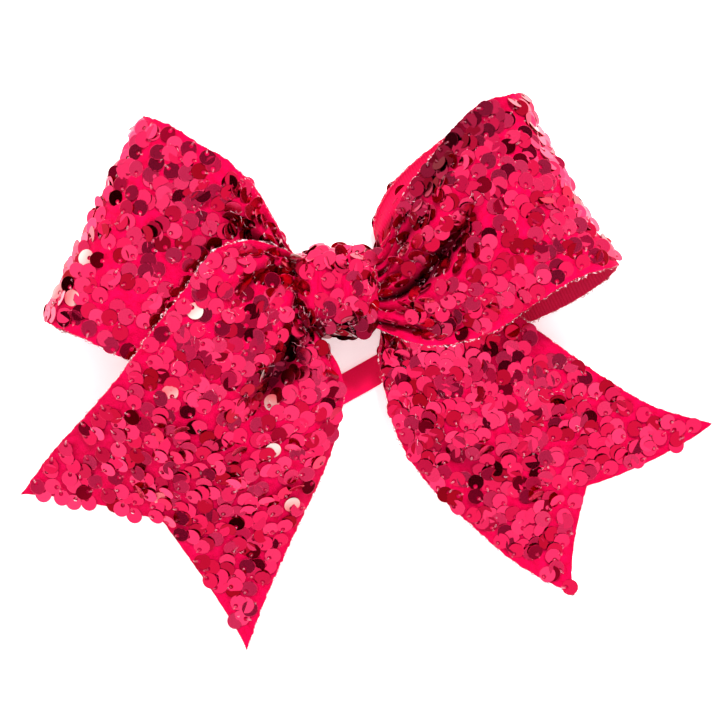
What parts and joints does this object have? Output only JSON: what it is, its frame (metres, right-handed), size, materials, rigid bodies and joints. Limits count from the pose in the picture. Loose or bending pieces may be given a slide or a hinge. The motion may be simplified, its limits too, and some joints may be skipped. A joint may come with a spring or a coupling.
{
  "type": "cheer hair bow",
  "caption": "Large hair bow of sequin-faced ribbon with folded loops, swallow-tail ends, a wrapped centre knot and a flat elastic hair tie through the back of the knot",
  "frame": {"origin": "centre of the bounding box's base, on the surface that the bow lies on", "axes": "+X across the bow to the viewer's right, +Y up the bow from tails to loops, +Z out of the front of the bow"},
  "size_m": [0.2104, 0.1685, 0.0374],
  "materials": {
    "sequin_cloth": "satin",
    "bonding_film": "gloss",
    "grosgrain": "matte",
    "strap_nylon": "satin",
    "hot_glue": "satin",
    "elastic": "satin"
  },
  "bodies": {
    "knot": {"knot_face": "sequin_cloth", "knot_web": "bonding_film", "knot_lining": "grosgrain", "knot_lap": "sequin_cloth", "knot_glue": "hot_glue", "binding_strap": "strap_nylon", "binding_strap_head": "strap_nylon", "front_crossing_face": "sequin_cloth", "front_crossing_lining": "grosgrain", "middle_crossing_face": "sequin_cloth", "middle_crossing_lining": "grosgrain", "rear_crossing_face": "sequin_cloth", "rear_crossing_lining": "grosgrain", "hair_tie_tunnel_run": "elastic"},
    "left_loop": {"left_loop_face": "sequin_cloth", "left_loop_web": "bonding_film", "left_loop_lining": "grosgrain"},
    "right_loop": {"right_loop_face": "sequin_cloth", "right_loop_web": "bonding_film", "right_loop_lining": "grosgrain"},
    "left_tail": {"left_tail_face": "sequin_cloth", "left_tail_web": "bonding_film", "left_tail_lining": "grosgrain"},
    "right_tail": {"right_tail_face": "sequin_cloth", "right_tail_web": "bonding_film", "right_tail_lining": "grosgrain"},
    "hair_tie": {"hair_tie_band": "elastic", "hair_tie_join": "elastic"}
  },
  "joints": [
    {"name": "left_loop_bend", "type": "hinge", "parent": "knot", "child": "left_loop", "pos_m": [-0.0215, 0.0247, 0.017], "axis": [0, 1, 0], "range_deg": [-3, 7], "stiffness_Nm_per_rad": 0.02},
    {"name": "right_loop_bend", "type": "hinge", "parent": "knot", "child": "right_loop", "pos_m": [0.0045, 0.0247, 0.015], "axis": [0, -1, 0], "range_deg": [-2, 7], "stiffness_Nm_per_rad": 0.02},
    {"name": "left_tail_lift", "type": "hinge", "parent": "left_loop", "child": "left_tail", "pos_m": [-0.0222, 0.0247, 0.0245], "axis": [0, 1, 0], "range_deg": [0, 28], "stiffness_Nm_per_rad": 0.02},
    {"name": "right_tail_lift", "type": "hinge", "parent": "right_loop", "child": "right_tail", "pos_m": [0.005, 0.0247, 0.0148], "axis": [0, -1, 0], "range_deg": [-3, 5], "stiffness_Nm_per_rad": 0.02},
    {"name": "hair_tie_swing", "type": "hinge", "parent": "knot", "child": "hair_tie", "pos_m": [-0.0086, 0.029, 0.0035], "axis": [1, 0, 0], "range_deg": [0, 130]}
  ]
}
